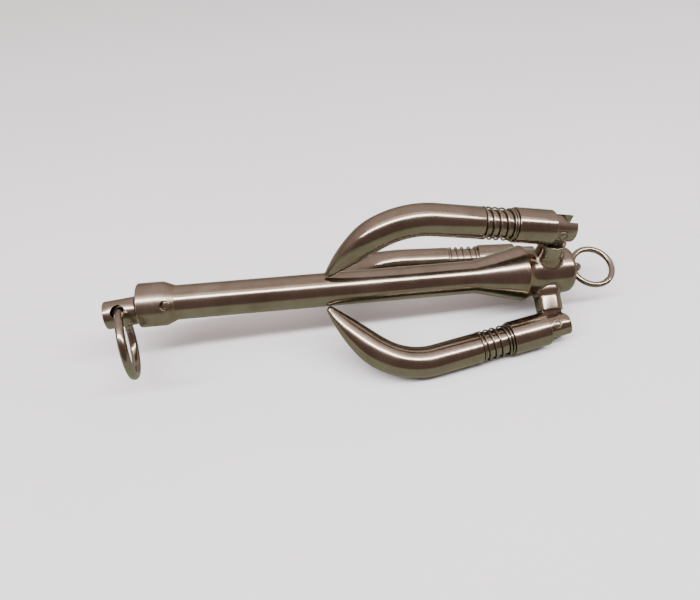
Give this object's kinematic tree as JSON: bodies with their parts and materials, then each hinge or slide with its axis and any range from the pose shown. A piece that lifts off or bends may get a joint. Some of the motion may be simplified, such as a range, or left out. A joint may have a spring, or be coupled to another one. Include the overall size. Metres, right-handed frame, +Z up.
{
  "type": "folding grapnel anchor",
  "caption": "Folding grapnel anchor with hinged hooked flukes, spring-loaded locking sleeves, a swivel eye with a rode ring, and a trip ring on the crown.",
  "frame": {"origin": "middle of the folded anchor's footprint, on the ground it lies on", "axes": "+X along the shank from the rode ring to the crown, +Z up with one fluke on top; the shank drops towards the crown by the angle at which the two lower flukes and their sleeves lie on flat ground"},
  "size_m": [0.4618, 0.154, 0.1378],
  "materials": {
    "collar": "polished stainless steel",
    "collar_pin": "satin stainless pin end",
    "crown_cone": "polished stainless steel",
    "crown_hub": "polished stainless steel",
    "fluke": "polished stainless steel",
    "hinge_pin": "satin stainless pin ends",
    "hinge_post": "polished stainless steel",
    "locking_sleeve": "polished stainless steel",
    "rode_ring": "polished stainless steel",
    "shank_tube": "polished stainless steel",
    "sleeve_spring": "bright stainless spring wire",
    "swivel_eye": "polished stainless steel",
    "swivel_nut": "plain stainless nut",
    "swivel_split_pin": "dull stainless wire",
    "swivel_washer": "plain stainless washer",
    "trip_eye": "polished stainless steel",
    "trip_ring": "polished stainless steel"
  },
  "bodies": {
    "shank": {"shank_tube": "shank_tube", "collar": "collar", "collar_pin": "collar_pin", "crown_cone": "crown_cone", "crown_hub": "crown_hub", "trip_eye": "trip_eye", "hinge_post_1": "hinge_post", "hinge_post_2": "hinge_post", "hinge_post_3": "hinge_post"},
    "swivel": {"swivel_eye": "swivel_eye", "swivel_washer": "swivel_washer", "swivel_nut": "swivel_nut", "swivel_split_pin": "swivel_split_pin"},
    "rode_ring": {"rode_ring": "rode_ring"},
    "trip_ring": {"trip_ring": "trip_ring"},
    "fluke_1": {"fluke_1": "fluke", "hinge_pin_1": "hinge_pin", "sleeve_spring_1": "sleeve_spring"},
    "sleeve_1": {"locking_sleeve_1": "locking_sleeve"},
    "fluke_2": {"fluke_2": "fluke", "hinge_pin_2": "hinge_pin", "sleeve_spring_2": "sleeve_spring"},
    "sleeve_2": {"locking_sleeve_2": "locking_sleeve"},
    "fluke_3": {"fluke_3": "fluke", "hinge_pin_3": "hinge_pin", "sleeve_spring_3": "sleeve_spring"},
    "sleeve_3": {"locking_sleeve_3": "locking_sleeve"}
  },
  "joints": [
    {"name": "swivel_spin", "type": "hinge", "parent": "shank", "child": "swivel", "pos_m": [-0.16829, 0, 0.06532], "axis": [0.9975, 0.0708, 0.0022], "continuous": true},
    {"name": "rode_ring_swing", "type": "hinge", "parent": "swivel", "child": "rode_ring", "pos_m": [-0.21757, -0.0035, 0.06521], "axis": [0.0415, -0.6098, 0.7915], "range_deg": [-247, 58]},
    {"name": "trip_ring_swing", "type": "hinge", "parent": "shank", "child": "trip_ring", "pos_m": [0.18963, 0, 0.0402], "axis": [0.0193, 0.9613, 0.275], "range_deg": [-84, 86]},
    {"name": "fluke_1_swing", "type": "hinge", "parent": "shank", "child": "fluke_1", "pos_m": [0.16312, 0, 0.09519], "axis": [0, 1, 0], "range_deg": [0, 80]},
    {"name": "sleeve_1_slide", "type": "slide", "parent": "fluke_1", "child": "sleeve_1", "axis": [-0.9719, 0, 0.2354], "range_m": [0, 0.014], "stiffness_N_per_m": 1200, "springref_m": -0.01, "deforming": ["sleeve_spring_1"]},
    {"name": "fluke_2_swing", "type": "hinge", "parent": "shank", "child": "fluke_2", "pos_m": [0.15755, 0.0459, 0.01589], "axis": [-0.0606, -0.5, -0.8639], "range_deg": [0, 80]},
    {"name": "sleeve_2_slide", "type": "slide", "parent": "fluke_2", "child": "sleeve_2", "axis": [-0.9894, 0.1444, -0.0141], "range_m": [0, 0.014], "stiffness_N_per_m": 1200, "springref_m": -0.01, "deforming": ["sleeve_spring_2"]},
    {"name": "fluke_3_swing", "type": "hinge", "parent": "shank", "child": "fluke_3", "pos_m": [0.15755, -0.0459, 0.01589], "axis": [0.0606, -0.5, 0.8639], "range_deg": [0, 80]},
    {"name": "sleeve_3_slide", "type": "slide", "parent": "fluke_3", "child": "sleeve_3", "axis": [-0.9894, -0.1444, -0.0141], "range_m": [0, 0.014], "stiffness_N_per_m": 1200, "springref_m": -0.01, "deforming": ["sleeve_spring_3"]}
  ]
}
